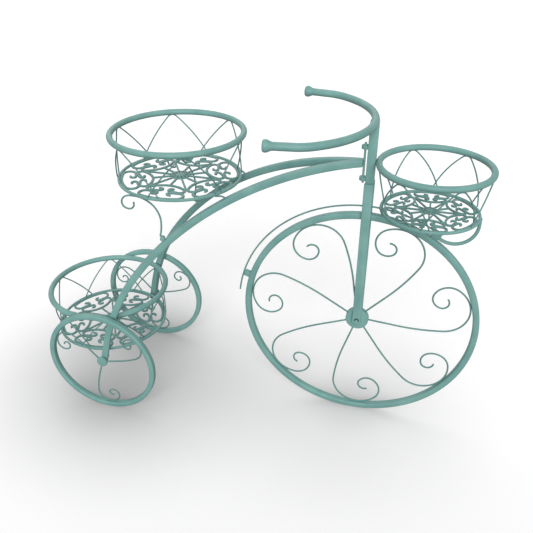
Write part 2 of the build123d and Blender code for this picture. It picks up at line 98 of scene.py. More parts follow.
# Sprayed sage-teal enamel on mild steel: a satin skin with a faint orange peel. Its colour drifts a
# little with the coat's thickness and its gloss with the grain, which keeps long tubes from looking flat
def paintedWroughtSteel(name, shape, thinColour, thickColour):
    material = emptyMaterial(name)
    tree = material.node_tree
    place = addNode(tree, "ShaderNodeTexCoord").outputs["Object"]
    patches = addNode(tree, "ShaderNodeTexNoise",
                      values={"Scale": 1 / shape["patchSize"], "Detail": shape["patchDetail"]},
                      links={"Vector": place})
    colour = addNode(tree, "ShaderNodeValToRGB", links={"Fac": patches.outputs["Fac"]})
    for stop, edge, coat in zip(colour.color_ramp.elements, shape["patchEdges"], (thinColour, thickColour)):
        stop.position = edge
        stop.color = linearColour(coat)
    grain = addNode(tree, "ShaderNodeTexNoise",
                    values={"Scale": 1 / shape["grainSize"], "Detail": shape["grainDetail"]},
                    links={"Vector": place})
    low, high = shape["roughness"]
    rough = addNode(tree, "ShaderNodeMapRange", values={"To Min": low, "To Max": high},
                    links={"Value": grain.outputs["Fac"]})
    peel = addNode(tree, "ShaderNodeTexNoise",
                   values={"Scale": 1 / shape["peelSize"], "Detail": shape["peelDetail"]},
                   links={"Vector": place})
    bump = addNode(tree, "ShaderNodeBump",
                   values={"Strength": shape["peelStrength"], "Distance": shape["peelDepth"]},
                   links={"Height": peel.outputs["Fac"]})
    shader = addNode(tree, "ShaderNodeBsdfPrincipled",
                     values={"Metallic": 0.0, "IOR": shape["ior"], "Specular IOR Level": shape["gloss"]},
                     links={"Base Color": colour.outputs["Color"], "Roughness": rough.outputs["Result"],
                            "Normal": bump.outputs["Normal"]})
    addNode(tree, "ShaderNodeOutputMaterial", links={"Surface": shader.outputs["BSDF"]})
    return material


# The wires take the same enamel as the tubes, painted a shade deeper: painted shade for the darker shading
# that thin wires show
paint = paintedWroughtSteel("painted steel tube", steelPaint, steelPaint["thinColour"],
                            steelPaint["thickColour"])
shadedWirePaint = paintedWroughtSteel("painted steel wire, darkened as painted shade", steelPaint, steelPaint["wireThinShadedColour"],
                                steelPaint["wireThickShadedColour"])
print("materials made")


# Wires and tubes: a ring of edges is carried along straight runs and round bends

# How near points are merged or cut, from which angle an edge is flat, a corner or shaded sharp, and how
# corners and wire ends are rounded
meshWork = {
    "mirrorMerge": 0.01 * mm,
    "poleMerge": 0.005 * mm,
    "copyMerge": 0.002 * mm,
    "cutReach": 0.0001 * mm,
    "flatAngle": 1.0,
    "cornerAngle": 35.0,
    "sharpAngle": 38.0,
    "turnedEaseSteps": 4,
    "endEaseShare": 0.3,
    "endEaseSteps": 3,
}

# Turns a section drawn flat so that it faces along +X with its height along +Z
sectionTurn = Matrix(((0, 0, 1, 0), (1, 0, 0, 0), (0, 1, 0, 0), (0, 0, 0, 1)))


def roundSection(bm, diameter, sides):
    bmesh.ops.create_circle(bm, cap_ends=False, segments=sides, radius=diameter / 2)


# A rectangle with eased corners, width in the plane of the bends and height across it. It starts as a
# unit square, drawn as a circle of four sides and turned straight
def barSection(bm, width, height, ease, easeSteps=3):
    bmesh.ops.create_circle(bm, cap_ends=True, segments=4, radius=math.sqrt(0.5))
    straight = Matrix.Rotation(math.radians(45), 3, "Z")
    bmesh.ops.rotate(bm, verts=bm.verts[:], cent=(0, 0, 0), matrix=straight)
    bmesh.ops.scale(bm, verts=bm.verts[:], vec=(width, height, 1))
    bmesh.ops.bevel(bm, geom=bm.verts[:], offset=ease, offset_type="OFFSET", affect="VERTICES",
                    segments=easeSteps, profile=0.5, material=-1)
    bmesh.ops.delete(bm, geom=bm.faces[:], context="FACES_ONLY")


def edgesBetween(verts):
    inside = set(verts)
    edges = dict.fromkeys(edge for vert in verts for edge in vert.link_edges)
    return [edge for edge in edges if inside.issuperset(edge.verts)]


# Bends the section along runs (0, length) and bends (radius, turn), in the plane's own x and y. A
# positive turn goes to the left. Returns the mesh, and the place and heading of the far end
def bentWire(section, start, heading, legs, stepAngle=7.0, stepLength=7 * mm, closed=()):
    bm = bmesh.new()
    section(bm)
    angle = math.radians(heading)
    spot = Vector((start[0], start[1], 0))
    place = Matrix.Translation(spot) @ Matrix.Rotation(angle, 4, "Z") @ sectionTurn
    bmesh.ops.transform(bm, matrix=place, verts=bm.verts[:])
    ends = [bm.edges[:]]
    ring = bm.verts[:]
    for radius, amount in legs:
        along = Vector((math.cos(angle), math.sin(angle), 0))
        if radius == 0:
            made = bmesh.ops.extrude_edge_only(bm, edges=edgesBetween(ring))
            ring = [part for part in made["geom"] if isinstance(part, bmesh.types.BMVert)]
            bmesh.ops.translate(bm, verts=ring, vec=along * amount)
            spot = spot + along * amount
            continue
        turn = math.radians(amount)
        side = 1 if turn > 0 else -1
        centre = spot + Vector((-along.y, along.x, 0)) * radius * side
        steps = max(math.ceil(abs(amount) / stepAngle), math.ceil(abs(turn) * radius / stepLength), 1)
        made = bmesh.ops.spin(bm, geom=ring + edgesBetween(ring), cent=centre, axis=(0, 0, 1),
                              dvec=(0, 0, 0), angle=turn, steps=steps, use_merge=False, use_duplicate=False)
        ring = [part for part in made["geom_last"] if isinstance(part, bmesh.types.BMVert)]
        spot = centre + Matrix.Rotation(turn, 3, "Z") @ (spot - centre)
        angle += turn
    ends.append(edgesBetween(ring))
    for index in closed:
        closeEnd(bm, ends[index])
    return bm, spot, angle


# Fills one open end and rounds its edge over
def closeEnd(bm, edges):
    verts = {vert for edge in edges for vert in edge.verts}
    reach = max((a.co - b.co).length for a in verts for b in verts) / 2
    bmesh.ops.holes_fill(bm, edges=edges, sides=0)
    bmesh.ops.bevel(bm, geom=edges, offset=reach * meshWork["endEaseShare"], offset_type="OFFSET",
                    affect="EDGES", segments=meshWork["endEaseSteps"], profile=0.5, material=-1,
                    clamp_overlap=True)


def mirrorJoin(bm):
    bmesh.ops.mirror(bm, geom=bm.verts[:] + bm.edges[:] + bm.faces[:], matrix=Matrix.Identity(4),
                     merge_dist=meshWork["mirrorMerge"], axis="X")


# A full ring of a section, round the plane's own z
def fullRing(section, radius, steps):
    bm = bmesh.new()
    section(bm)
    place = Matrix.Translation((radius, 0, 0)) @ Matrix.Rotation(math.radians(90), 4, "Z") @ sectionTurn
    bmesh.ops.transform(bm, matrix=place, verts=bm.verts[:])
    bmesh.ops.spin(bm, geom=bm.verts[:] + bm.edges[:], cent=(0, 0, 0), axis=(0, 0, 1), dvec=(0, 0, 0),
                   angle=math.tau, steps=steps, use_merge=True, use_duplicate=False)
    return bm


# A turned body from the points of its profile, as (radius, height) in millimetres, with eased corners
def turnedBody(profile, ease, steps):
    bm = bmesh.new()
    verts = [bm.verts.new((radius * mm, 0, height * mm)) for radius, height in profile]
    for first, second in zip(verts, verts[1:]):
        bm.edges.new((first, second))
    corners = [vert for vert in verts[1:-1] if vert.co.x > 0]
    bmesh.ops.bevel(bm, geom=corners, offset=ease * mm, offset_type="OFFSET", affect="VERTICES",
                    segments=meshWork["turnedEaseSteps"], profile=0.5, material=-1)
    bmesh.ops.spin(bm, geom=bm.verts[:] + bm.edges[:], cent=(0, 0, 0), axis=(0, 0, 1), dvec=(0, 0, 0),
                   angle=math.tau, steps=steps, use_merge=True, use_duplicate=False)
    bmesh.ops.remove_doubles(bm, verts=bm.verts[:], dist=meshWork["poleMerge"])
    bmesh.ops.holes_fill(bm, edges=bm.edges[:], sides=0)
    return bm


# A round disc of even thickness, from its radius and half its thickness in millimetres
def roundDisc(radius, half, ease, steps):
    return turnedBody([(0, -half), (radius, -half), (radius, half), (0, half)], ease, steps)


# Repeats everything in the mesh round the plane's own z, evenly over a full turn
def repeatRound(bm, count):
    bmesh.ops.spin(bm, geom=bm.verts[:] + bm.edges[:] + bm.faces[:], cent=(0, 0, 0), axis=(0, 0, 1),
                   dvec=(0, 0, 0), angle=math.tau * (count - 1) / count, steps=count - 1, use_merge=False,
                   use_duplicate=True)


def moved(bm, matrix):
    bmesh.ops.transform(bm, matrix=matrix, verts=bm.verts[:])
    return bm


def addTo(bm, other):
    part = bpy.data.meshes.new("part")
    other.to_mesh(part)
    other.free()
    bm.from_mesh(part)
    bpy.data.meshes.remove(part)
    return bm


# A plane from its origin and its own x and y
def planeMatrix(origin, xAxis, yAxis):
    x = Vector(xAxis).normalized()
    y = Vector(yAxis).normalized()
    return Matrix.Translation(origin) @ Matrix((x, y, x.cross(y))).transposed().to_4x4()


def sidePlane(origin):
    return planeMatrix(origin, (1, 0, 0), (0, 0, 1))


# The finished piece rides on its body, takes the paint and stands for its CAD node
def finishPiece(name, bm, body, node, coat=paint):
    bmesh.ops.recalc_face_normals(bm, faces=bm.faces[:])
    if bm.calc_volume(signed=True) < 0:  # an arched tube can come out inside out
        bmesh.ops.reverse_faces(bm, faces=bm.faces[:])
    mesh = bpy.data.meshes.new(name)
    bm.to_mesh(mesh)
    bm.free()
    for face in mesh.polygons:
        face.use_smooth = True
    mesh.set_sharp_from_angle(angle=math.radians(meshWork["sharpAngle"]))
    mesh.materials.append(coat)
    piece = bpy.data.objects.new(name, mesh)
    bpy.context.scene.collection.objects.link(piece)
    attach(piece, body)
    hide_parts(node)


# The middle and the size of a CAD node
def nodeBox(node):
    low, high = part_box(node)
    return (low + high) / 2, high - low


# A copy of a CAD node with its corners rounded over
def easedCopy(node, ease, easeSteps=2):
    bm = bmesh.new()
    bm.from_mesh(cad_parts[node].data)
    bmesh.ops.remove_doubles(bm, verts=bm.verts[:], dist=meshWork["copyMerge"])
    bmesh.ops.dissolve_limit(bm, angle_limit=math.radians(meshWork["flatAngle"]), verts=bm.verts[:],
                             edges=bm.edges[:])
    corner = math.radians(meshWork["cornerAngle"])
    corners = [edge for edge in bm.edges if edge.is_manifold and edge.calc_face_angle() > corner]
    bmesh.ops.bevel(bm, geom=corners, offset=ease * mm, offset_type="OFFSET", affect="EDGES",
                    segments=easeSteps, profile=0.5, material=-1, clamp_overlap=True)
    return bm


# Wheels: a rolled rectangular tube, a hub disc and wires that end in a scroll against the rim.
# Sizes are millimetres and angles degrees, here and below

frontWheel = {
    "rimDepth": 11.5,
    "rimCorner": 2.6,
    "rimSteps": 160,
    "hubCorner": 0.9,
    "hubSteps": 64,
    "wire": 3.2,
    "spokes": 7,
    "firstSpoke": 152.0,
}
rearWheel = {
    "rimDepth": 10.0,
    "rimCorner": 2.4,
    "rimSteps": 120,
    "hubCorner": 0.9,
    "hubSteps": 64,
    "wire": 3.0,
    "spokes": 3,
    "firstSpoke": 14.5,
}
# A scroll spoke as shares of its reach: a straight arm, then bends of (radius, turn). It bites a little
# into the hub disc and stops a gap short of the rim
wheelScroll = {
    "heading": -1.8,
    "armShare": 0.3655,
    "bendShares": [(1.847, 12.6), (0.2306, 80.1), (0.2443, 62.4), (0.14, 99.3), (0.0957, 94.2),
                   (0.0586, 150.0)],
    "hubBite": 0.4,
    "gap": 0.05,
    "sides": 14,
    "stepAngle": 6.0,
    "stepLength": 6.0,
}


def wheelSpokes(shape, hubRadius, rimInner):
    reach = rimInner - (shape["wire"] / 2 + wheelScroll["gap"]) * mm
    start = hubRadius - wheelScroll["hubBite"] * mm
    legs = [(0, wheelScroll["armShare"] * reach - start)]
    legs += [(share * reach, turn) for share, turn in wheelScroll["bendShares"]]
    bm = bentWire(lambda b: roundSection(b, shape["wire"] * mm, wheelScroll["sides"]), (start, 0),
                  wheelScroll["heading"], legs, stepAngle=wheelScroll["stepAngle"],
                  stepLength=wheelScroll["stepLength"] * mm, closed=(0, 1))[0]
    moved(bm, Matrix.Rotation(math.radians(shape["firstSpoke"]), 4, "Z"))
    repeatRound(bm, shape["spokes"])
    return bm


def makeWheel(shape, body, word, suffix=""):
    rimNode, hubNode, spokeNode = [word + "_wheel_" + part + suffix for part in ("rim", "hub", "spokes")]
    axle, size = nodeBox(rimNode)
    outer = size.x / 2
    depth = shape["rimDepth"] * mm
    rim = fullRing(lambda b: barSection(b, depth, size.y, shape["rimCorner"] * mm), outer - depth / 2,
                   shape["rimSteps"])
    finishPiece(rimNode + "_painted", moved(rim, sidePlane(axle)), body, rimNode)
    hubMiddle, hubSize = nodeBox(hubNode)
    hub = roundDisc(hubSize.x / 2 / mm, hubSize.y / 2 / mm, shape["hubCorner"], shape["hubSteps"])
    finishPiece(hubNode + "_painted", moved(hub, sidePlane(hubMiddle)), body, hubNode)
    spokes = wheelSpokes(shape, hubSize.x / 2, outer - depth)
    finishPiece(spokeNode + "_painted", moved(spokes, sidePlane(axle)), body, spokeNode, coat=shadedWirePaint)
    return axle


frontAxle = makeWheel(frontWheel, "front_frame", "front")
rearAxles = {}
for word in ("left", "right"):
    rearAxles[word] = makeWheel(rearWheel, "rear_wheel_" + word, "rear", "_" + word)
print("wheels made")


# Baskets

bigBasket = {"strip": 4.7, "bar": 3.5, "ringRadius": 107.2, "steps": 144}
smallBasket = {"strip": 3.8, "bar": 2.9, "ringRadius": 79.0, "steps": 128}
basketWork = {
    "rimSides": 24,
    "ringSide": 4.8,
    "ringCorner": 1.5,
    "archWire": 2.5,
    "archSides": 12,
    "arches": 6,
    "footAngle": 34.5,
    "crownRadius": 11.0,
    "crownTurn": 45.0,
    "crownRise": 2.4,  # how far the crown bites into the rim
    "crossOffset": 1.75,  # sets the arches aside of each other where they cross
    "phase": -3.0,  # where the first arch stands
    "stripHeight": 3.2,
    "stripCorner": 0.9,
    "cornerSteps": 2,
    "gap": 0.05,
}
# The floor as shares of the ring's inner radius: a star of a disc and bars, scrolls along the ring and
# scrolls that bow inwards, as runs (0, share) and bends (share, turn). A bar starts at a share of the
# disc's radius and bites a share of its width into a scroll
floorWork = {
    "discShare": 0.165,
    "barShare": 0.635,
    "bellyShare": 0.46,
    "ringHalfAngle": 18.0,
    "ringShares": [(0.1045, -165.0), (0.0, 0.135), (0.045, -215.0)],
    "bellyShares": [(0.45, 21.0), (0.45, 20.5), (0.075, 150.0), (0.0, 0.15), (0.043, 215.0)],
    "barStartShare": 0.5,
    "barBiteShare": 0.25,
    "ringGap": 0.1,
    "stepAngle": 11.0,
    "discSteps": 64,
}


def scaledLegs(shares, size):
    return [(radius * size, amount * size if radius == 0 else amount) for radius, amount in shares]


def basketArches(rimRadius, ringRadius, top, foot):
    wire = basketWork["archWire"] * mm
    footAngle = math.radians(basketWork["footAngle"])
    leanIn = rimRadius - ringRadius * math.cos(footAngle)
    slope = math.hypot(top - foot, leanIn)
    halfSpan = ringRadius * math.sin(footAngle)
    crown = basketWork["crownRadius"] * mm
    turn = math.radians(basketWork["crownTurn"])
    apex = slope + basketWork["crownRise"] * mm
    # one long gentle bend takes the wire from its tight crown to the foot
    across = halfSpan - crown * math.sin(turn)
    down = apex - crown * (1 - math.cos(turn))
    legTurn = 2 * (math.atan2(down, across) - turn)
    legRadius = math.hypot(across, down) / (2 * math.sin(legTurn / 2))
    legs = [(crown, -basketWork["crownTurn"]), (legRadius, -math.degrees(legTurn))]
    bm = bentWire(lambda b: roundSection(b, wire, basketWork["archSides"]), (0, apex), 0, legs,
                  closed=(1,))[0]
    mirrorJoin(bm)
    moved(bm, planeMatrix((ringRadius * math.cos(footAngle), 0, foot), (0, 1, 0), (leanIn, 0, top - foot)))
    twist = math.asin(basketWork["crossOffset"] * mm / (ringRadius / 2))
    bmesh.ops.rotate(bm, verts=bm.verts[:], cent=(rimRadius, 0, 0), matrix=Matrix.Rotation(twist, 3, "Z"))
    moved(bm, Matrix.Rotation(math.radians(basketWork["phase"]), 4, "Z"))
    repeatRound(bm, basketWork["arches"])
    return bm


def stripSection(bm, width):
    barSection(bm, width, basketWork["stripHeight"] * mm, basketWork["stripCorner"] * mm,
               basketWork["cornerSteps"])


# One scroll, from the middle of its back to its curled end, and its mirror image
def floorScroll(height, legs, strip):
    bm = bentWire(lambda b: stripSection(b, strip), (0, height), 0, legs, stepAngle=floorWork["stepAngle"],
                  closed=(1,))[0]
    mirrorJoin(bm)
    return bm


def basketFloor(ringInner, strip):
    crown = ringInner - strip / 2 - floorWork["ringGap"] * mm
    legs = [(crown, -floorWork["ringHalfAngle"])] + scaledLegs(floorWork["ringShares"], ringInner)
    bm = floorScroll(crown, legs, strip)
    belly = floorWork["bellyShare"] * ringInner
    addTo(bm, floorScroll(belly, scaledLegs(floorWork["bellyShares"], ringInner), strip))
    repeatRound(bm, basketWork["arches"])
    return bm


# The star in the middle: a disc, with bars in turn to the belly of a scroll and between two scrolls
def floorStar(ringInner, strip, bar):
    disc = floorWork["discShare"] * ringInner
    half = basketWork["stripHeight"] / 2
    bm = roundDisc(disc / mm, half, basketWork["stripCorner"], floorWork["discSteps"])
    start = disc * floorWork["barStartShare"]
    toBelly = floorWork["bellyShare"] * ringInner - strip * (0.5 - floorWork["barBiteShare"])
    for turn, reach in ((0, floorWork["barShare"] * ringInner), (180 / basketWork["arches"], toBelly)):
        bars = bentWire(lambda b: stripSection(b, bar), (start, 0), 0, [(0, reach - start)], closed=(1,))[0]
        bmesh.ops.holes_fill(bars, edges=bars.edges[:], sides=0)  # the flat end inside the disc
        moved(bars, Matrix.Rotation(math.radians(turn), 4, "Z"))
        repeatRound(bars, basketWork["arches"])
        addTo(bm, bars)
    return bm


def makeBasket(name, shape, body):
    rimNode = name + "_basket_rim"
    ringNode = name + "_basket_bottom_ring"
    middle, size = nodeBox(rimNode)
    ringMiddle = nodeBox(ringNode)[0]
    wire = size.z
    rimRadius = (size.x - wire) / 2
    ringSide = basketWork["ringSide"] * mm
    ringRadius = shape["ringRadius"] * mm
    rim = fullRing(lambda b: roundSection(b, wire, basketWork["rimSides"]), rimRadius, shape["steps"])
    finishPiece(rimNode + "_painted", moved(rim, Matrix.Translation(middle)), body, rimNode)
    ring = fullRing(lambda b: barSection(b, ringSide, ringSide, basketWork["ringCorner"] * mm), ringRadius,
                    shape["steps"])
    finishPiece(ringNode + "_painted", moved(ring, Matrix.Translation(ringMiddle)), body, ringNode)
    # the arches' plane ends just under the rim
    top = -wire / 2 - (basketWork["archWire"] / math.sqrt(2) + basketWork["gap"]) * mm
    foot = ringMiddle.z - middle.z + ringSide / 2
    arches = basketArches(rimRadius, ringRadius, top, foot)
    finishPiece(name + "_basket_arch_wires", moved(arches, Matrix.Translation(middle)), body,
                name + "_basket_arches", coat=shadedWirePaint)
    strip = shape["strip"] * mm
    scrolls = basketFloor(ringRadius - ringSide / 2, strip)
    finishPiece(name + "_basket_scrollwork", moved(scrolls, Matrix.Translation(ringMiddle)), body,
                name + "_basket_floor_scrolls", coat=shadedWirePaint)
    star = floorStar(ringRadius - ringSide / 2, strip, shape["bar"] * mm)
    finishPiece(name + "_basket_star", moved(star, Matrix.Translation(ringMiddle)), body,
                name + "_basket_floor_star", coat=shadedWirePaint)


makeBasket("upper", bigBasket, "rear_frame")
makeBasket("lower", bigBasket, "rear_frame")
makeBasket("front", smallBasket, "front_frame")
print("baskets made")


# Rear frame: two arched tubes from the hinge pin to the rear axles, with the upper basket's brackets

beamShape = {
    "side": 12.0,
    "corner": 1.6,
    "splay": 14.3,
    "headHeight": 519.9,
    "headSlope": 5.26,
    "lead": 12.0,
    "bends": [(555.0, 47.9), (410.0, 23.4)],
    "leg": 87.0,
    "stepAngle": 2.0,
    "stepLength": 9.0,
}
pinMiddle, pinSize = nodeBox("hinge_pin")


# The upright plane that a beam bends in, with x back from the pin and y up
def beamPlane(side):
    angle = math.radians(180 - side * beamShape["splay"])
    return planeMatrix((pinMiddle.x, 0, 0), (math.cos(angle), math.sin(angle), 0), (0, 0, 1))


def makeBeam(side, word):
    tube = beamShape["side"] * mm
    slope = math.radians(beamShape["headSlope"])
    lead = beamShape["lead"] * mm
    start = (-lead * math.cos(slope), beamShape["headHeight"] * mm + lead * math.sin(slope))
    legs = [(0, lead)] + [(radius * mm, -turn) for radius, turn in beamShape["bends"]]
    legs += [(0, beamShape["leg"] * mm)]
    bm = bentWire(lambda b: barSection(b, tube, tube, beamShape["corner"] * mm), start,
                  -beamShape["headSlope"], legs, stepAngle=beamShape["stepAngle"],
                  stepLength=beamShape["stepLength"] * mm)[0]
    moved(bm, beamPlane(side))
    low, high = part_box("beam_" + word)
    # cut to the mitre on the middle plane, to the pin's flat and to the level foot, and closed each time
    cuts = [
        ((0, 0, 0), (0, -side, 0)),
        ((high.x, 0, 0), (1, 0, 0)),
        ((0, 0, low.z), (0, 0, -1)),
    ]
    for point, normal in cuts:
        bmesh.ops.bisect_plane(bm, geom=bm.verts[:] + bm.edges[:] + bm.faces[:], dist=meshWork["cutReach"],
                               plane_co=point, plane_no=normal, clear_outer=True, clear_inner=False)
        bmesh.ops.holes_fill(bm, edges=bm.edges[:], sides=0)
    finishPiece("beam_tube_" + word, bm, "rear_frame", "beam_" + word)


# The scroll from its foot on the beam up to the ring, as runs (0, length) and bends (radius, turn)
bracketShape = {
    "wire": 3.2,
    "sides": 14,
    "stepAngle": 6.0,
    "footBack": 341.9,
    "heading": 105.5,
    "rimGap": 0.05,
    "belly": (100.0, -15.5),
    "bow": (49.8, -90.0),
    "flat": (0, 1.5),
    "curl": (12.2, -180.0),
    "end": (8.0, -90.0),
    "tip": (0, 4.5),
    "lugEase": 0.8,
    "lugEaseSteps": 3,
    "stayRun": 9.0,
    "stayBend": (12.0, 32.0),
}


def makeBracket(side, word):
    wire = bracketShape["wire"] * mm
    lug = easedCopy("bracket_lug_" + word, bracketShape["lugEase"], bracketShape["lugEaseSteps"])
    finishPiece("bracket_lug_" + word + "_painted", lug, "rear_frame", "bracket_lug_" + word)
    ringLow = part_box("upper_basket_bottom_ring")[0].z
    top = ringLow - wire / 2 - bracketShape["rimGap"] * mm
    heading = math.radians(bracketShape["heading"])
    # the belly turns upright and the bow turns level, right under the ring
    rise = -bracketShape["belly"][0] * math.cos(heading) + bracketShape["bow"][0]
    legs = []
    for part in ("belly", "bow", "flat", "curl", "end", "tip"):
        radius, amount = bracketShape[part]
        legs.append((0, amount * mm) if radius == 0 else (radius * mm, amount))
    bm = bentWire(lambda b: roundSection(b, wire, bracketShape["sides"]),
                  (bracketShape["footBack"] * mm, top - rise * mm), bracketShape["heading"], legs,
                  stepAngle=bracketShape["stepAngle"], closed=(0, 1))[0]
    moved(bm, beamPlane(side))
    finishPiece("bracket_scroll_" + word + "_wire", bm, "rear_frame", "bracket_scroll_" + word,
                coat=shadedWirePaint)


# Short stay from under the ring's front down to the top of the beam
def makeStay(side, word):
    wire = bracketShape["wire"] * mm
    toPlane = beamPlane(side).inverted()
    corners = [toPlane @ vert.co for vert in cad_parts["front_stay_" + word].data.vertices]
    far = max(corner.x for corner in corners)
    top = max(corner.y for corner in corners) - wire / 2
    run = bracketShape["stayRun"] * mm
    legs = [(0, run), (bracketShape["stayBend"][0] * mm, bracketShape["stayBend"][1]), (0, run)]
    bm = bentWire(lambda b: roundSection(b, wire, bracketShape["sides"]), (far, top), 180, legs,
                  stepAngle=bracketShape["stepAngle"], closed=(0, 1))[0]
    moved(bm, beamPlane(side))
    finishPiece("front_stay_" + word + "_wire", bm, "rear_frame", "front_stay_" + word, coat=shadedWirePaint)


# The pin has rounded ends, and the stub axles a lighter ease
pinShape = {"ease": 0.8, "steps": 32, "axleEase": 0.4}

for side, word in ((1, "left"), (-1, "right")):
    makeBeam(side, word)
    makeBracket(side, word)
    makeStay(side, word)
    axleNode = "rear_axle_" + word
    finishPiece(axleNode + "_painted", easedCopy(axleNode, pinShape["axleEase"]), "rear_frame", axleNode)

pin = roundDisc(pinSize.y / 2 / mm, pinSize.z / 2 / mm, pinShape["ease"], pinShape["steps"])
finishPiece("hinge_pin_painted", moved(pin, Matrix.Translation(pinMiddle)), "rear_frame", "hinge_pin")
print("rear frame made")


# Front frame

handlebarShape = {
    "tube": 12.7,
    "bow": (157.0, 57.3),
    "bend": (63.0, 25.6),
    "arm": 40.0,
    "sides": 32,
    "stepAngle": 3.0,
    "stepLength": 6.0,
    # the cap's profile from its neck to its rounded end, as (radius, length)
    "cap": [(6.45, 0.0), (7.5, 3.0), (9.3, 6.4), (9.6, 10.8), (8.3, 13.5), (0, 13.9)],
    "capEase": 1.3,
    "capBite": 9.45,  # how far its neck reaches over the tube
    "capSteps": 40,
}
postMiddle = nodeBox("post")[0]


def makeHandlebar():
    tube = handlebarShape["tube"] * mm
    height = nodeBox("handlebar")[0].z
    legs = [
        (handlebarShape["bow"][0] * mm, handlebarShape["bow"][1]),
        (handlebarShape["bend"][0] * mm, handlebarShape["bend"][1]),
        (0, handlebarShape["arm"] * mm),
    ]
    # drawn from the middle to the left end, then mirrored
    bm, spot, angle = bentWire(lambda b: roundSection(b, tube, handlebarShape["sides"]), (0, 0), 0, legs,
                               stepAngle=handlebarShape["stepAngle"],
                               stepLength=handlebarShape["stepLength"] * mm, closed=(1,))
    mirrorJoin(bm)
    plane = planeMatrix((postMiddle.x, 0, height), (0, 1, 0), (-1, 0, 0))
    moved(bm, plane)
    finishPiece("handlebar_tube", bm, "front_frame", "handlebar")
    for side, word in ((1, "left"), (-1, "right")):
        end = plane @ Vector((spot.x * side, spot.y, 0))
        out = plane.to_3x3() @ Vector((math.cos(angle) * side, math.sin(angle), 0))
        cap = turnedBody(handlebarShape["cap"], handlebarShape["capEase"], handlebarShape["capSteps"])
        across = out.cross(Vector((0, 0, 1)))
        place = planeMatrix(end - out * handlebarShape["capBite"] * mm, across, out.cross(across))
        finishPiece("handlebar_cap_" + word + "_painted", moved(cap, place), "front_frame",
                    "handlebar_cap_" + word)


makeHandlebar()

fenderShape = {"wire": 3.0, "sides": 14, "gap": 12.2, "start": 58.0, "end": 173.8, "stepAngle": 2.0}


def makeFender():
    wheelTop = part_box("front_wheel_rim")[1].z
    radius = wheelTop - frontAxle.z + fenderShape["gap"] * mm
    first = math.radians(fenderShape["start"])
    start = (radius * math.cos(first), radius * math.sin(first))
    turn = fenderShape["end"] - fenderShape["start"]
    bm = bentWire(lambda b: roundSection(b, fenderShape["wire"] * mm, fenderShape["sides"]), start,
                  fenderShape["start"] + 90, [(radius, turn)], stepAngle=fenderShape["stepAngle"],
                  closed=(0, 1))[0]
    finishPiece("fender_wire_painted", moved(bm, sidePlane(frontAxle)), "front_frame", "fender_wire",
                coat=shadedWirePaint)


makeFender()

hookShape = {
    "wire": 6.0,
    "sides": 20,
    "radius": 37.5,
    "start": -134.0,
    "overhang": 1.4,
    "drop": 15.0,
    "stepAngle": 4.0,
}


# The hook leaves the block on the rim and rises to the underside of the front basket's ring
def makeHook():
    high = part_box("front_basket_hook")[1]
    radius = hookShape["radius"] * mm
    wire = hookShape["wire"] * mm
    drop = hookShape["drop"] * mm
    centre = Vector((high.x - wire / 2 + hookShape["overhang"] * mm - radius, 0, high.z - drop))
    first = math.radians(hookShape["start"])
    start = (radius * math.cos(first), radius * math.sin(first))
    bm = bentWire(lambda b: roundSection(b, wire, hookShape["sides"]), start, hookShape["start"] + 90,
                  [(radius, -hookShape["start"]), (0, drop)], stepAngle=hookShape["stepAngle"],
                  closed=(0, 1))[0]
    finishPiece("front_basket_hook_rod", moved(bm, sidePlane(centre)), "front_frame", "front_basket_hook")


makeHook()

# The post runs up behind the bow of the handlebar, to a little above the tube's middle
postShape = {"corner": 1.4, "cornerSteps": 3, "topRise": 4.0, "topReach": 3.0}


def makePost():
    bm = easedCopy("post", postShape["corner"], postShape["cornerSteps"])
    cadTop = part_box("post")[1].z
    newTop = nodeBox("handlebar")[0].z + postShape["topRise"] * mm
    top = [vert for vert in bm.verts if vert.co.z > cadTop - postShape["topReach"] * mm]
    bmesh.ops.translate(bm, verts=top, vec=(0, 0, newTop - cadTop))
    finishPiece("post_painted", bm, "front_frame", "post")


makePost()

# Plain cut pieces keep their CAD shape, with rounded edges: the node and its ease
easedPieces = {
    "fender_tab": 0.7,
    "front_basket_block": 0.9,
    "hinge_eyes": 0.7,
    "front_axle_nut": 0.5,
}
for node, ease in easedPieces.items():
    finishPiece(node + "_painted", easedCopy(node, ease), "front_frame", node)

# The toe of each fork leg has a wide hole, in which the axle bolt sits low
forkToe = {"ease": 0.6, "boreReach": 3.8, "widening": 1.75, "rise": 1.6}


def makeForkLeg(word):
    bm = easedCopy("fork_leg_" + word, forkToe["ease"])
    bore = [vert for vert in bm.verts
            if math.hypot(vert.co.x - frontAxle.x, vert.co.z - frontAxle.z) < forkToe["boreReach"] * mm]
    bmesh.ops.scale(bm, verts=bore, vec=(forkToe["widening"], 1, forkToe["widening"]),
                    space=Matrix.Translation(-frontAxle))
    bmesh.ops.translate(bm, verts=bore, vec=(0, 0, forkToe["rise"] * mm))
    finishPiece("fork_leg_" + word + "_painted", bm, "front_frame", "fork_leg_" + word)


for word in ("left", "right"):
    makeForkLeg(word)

# The dome's points are shares of the head's radius and height
boltShape = {
    "headRadius": 3.5,
    "headHeight": 2.6,
    "shankRadius": 2.5,
    "domeShares": [(0.62, 0.12), (0.9, 0.5)],
    "ease": 0.45,
    "steps": 40,
}


def makeAxleBolt():
    low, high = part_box("front_axle_bolt")
    length = (high.y - low.y) / mm
    shank = boltShape["shankRadius"]
    head = boltShape["headRadius"]
    rise = boltShape["headHeight"]
    dome = [(head * out, rise * down) for out, down in boltShape["domeShares"]]
    profile = [(0, 0), *dome, (head, rise), (shank, rise), (shank, length), (0, length)]
    bolt = turnedBody(profile, boltShape["ease"], boltShape["steps"])
    place = planeMatrix((frontAxle.x, low.y, frontAxle.z), (1, 0, 0), (0, 0, -1))
    finishPiece("front_axle_bolt_painted", moved(bolt, place), "front_frame", "front_axle_bolt")


makeAxleBolt()
print("front frame made")


# Floor, light and camera

